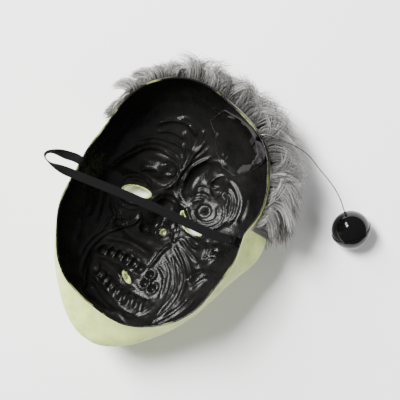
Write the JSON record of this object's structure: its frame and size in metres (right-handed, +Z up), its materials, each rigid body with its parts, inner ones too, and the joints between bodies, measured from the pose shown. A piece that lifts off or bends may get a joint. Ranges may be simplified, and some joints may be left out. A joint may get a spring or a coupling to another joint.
{
  "type": "latex halloween mask",
  "caption": "Ghoul face mask of moulded latex lying face down, with a fur wig round the forehead, an elastic strap across the back and a ball on a bent spring wire.",
  "frame": {"origin": "on the floor, under the middle of the bounding box of the mask as it lies face down with its ball beside it", "axes": "+Z up, out of the wearer's side of the mask; +Y towards the forehead; +X towards the side of the wire and ball, the wearer's right"},
  "size_m": [0.3214, 0.3111, 0.1182],
  "materials": {
    "latex": "satin",
    "grey_fur": "matte",
    "fur_backing": "matte",
    "elastic": "matte",
    "staple_steel": "satin",
    "black_cloth": "matte",
    "black_plastic_matte": "matte",
    "spring_steel": "gloss",
    "black_ball": "gloss"
  },
  "bodies": {
    "mask": {"cover_patch": "black_cloth", "face_shell": "latex", "hair_tuft_01": "grey_fur", "hair_tuft_02": "grey_fur", "hair_tuft_03": "grey_fur", "hair_tuft_04": "grey_fur", "hair_tuft_05": "grey_fur", "hair_tuft_06": "grey_fur", "hair_tuft_07": "grey_fur", "hair_tuft_08": "grey_fur", "hair_tuft_09": "grey_fur", "hair_tuft_10": "grey_fur", "hair_tuft_11": "grey_fur", "spring_wire_root": "spring_steel", "strap_end_left": "elastic", "strap_end_right": "elastic", "strap_staple_left": "staple_steel", "strap_staple_right": "staple_steel", "strap_tab_left": "latex", "strap_tab_right": "latex", "wig_backing": "fur_backing", "wire_anchor": "black_plastic_matte"},
    "strap": {"elastic_strap": "elastic"},
    "wire": {"spring_wire_mid": "spring_steel"},
    "bobber": {"spring_wire_tip": "spring_steel", "ball_upper_shell": "black_ball", "ball_lower_shell": "black_ball", "wire_ferrule": "spring_steel", "wire_plug": "black_plastic_matte"}
  },
  "joints": [
    {"name": "strap_swing", "type": "hinge", "parent": "mask", "child": "strap", "pos_m": [0.03841, 0.00388, 0.11127], "axis": [-0.9979, -0.0442, -0.0482], "range_deg": [0, 150]},
    {"name": "wire_bob", "type": "hinge", "parent": "mask", "child": "wire", "pos_m": [0.01549, 0.1079, 0.0857], "axis": [0.2773, -0.9608, 0], "range_deg": [0, 35], "stiffness_Nm_per_rad": 0.4},
    {"name": "wire_sway", "type": "hinge", "parent": "wire", "child": "bobber", "pos_m": [0.05299, 0.1128, 0.0835], "axis": [0.4499, -0.0146, 0.8929], "range_deg": [-10, 18], "stiffness_Nm_per_rad": 0.6}
  ]
}
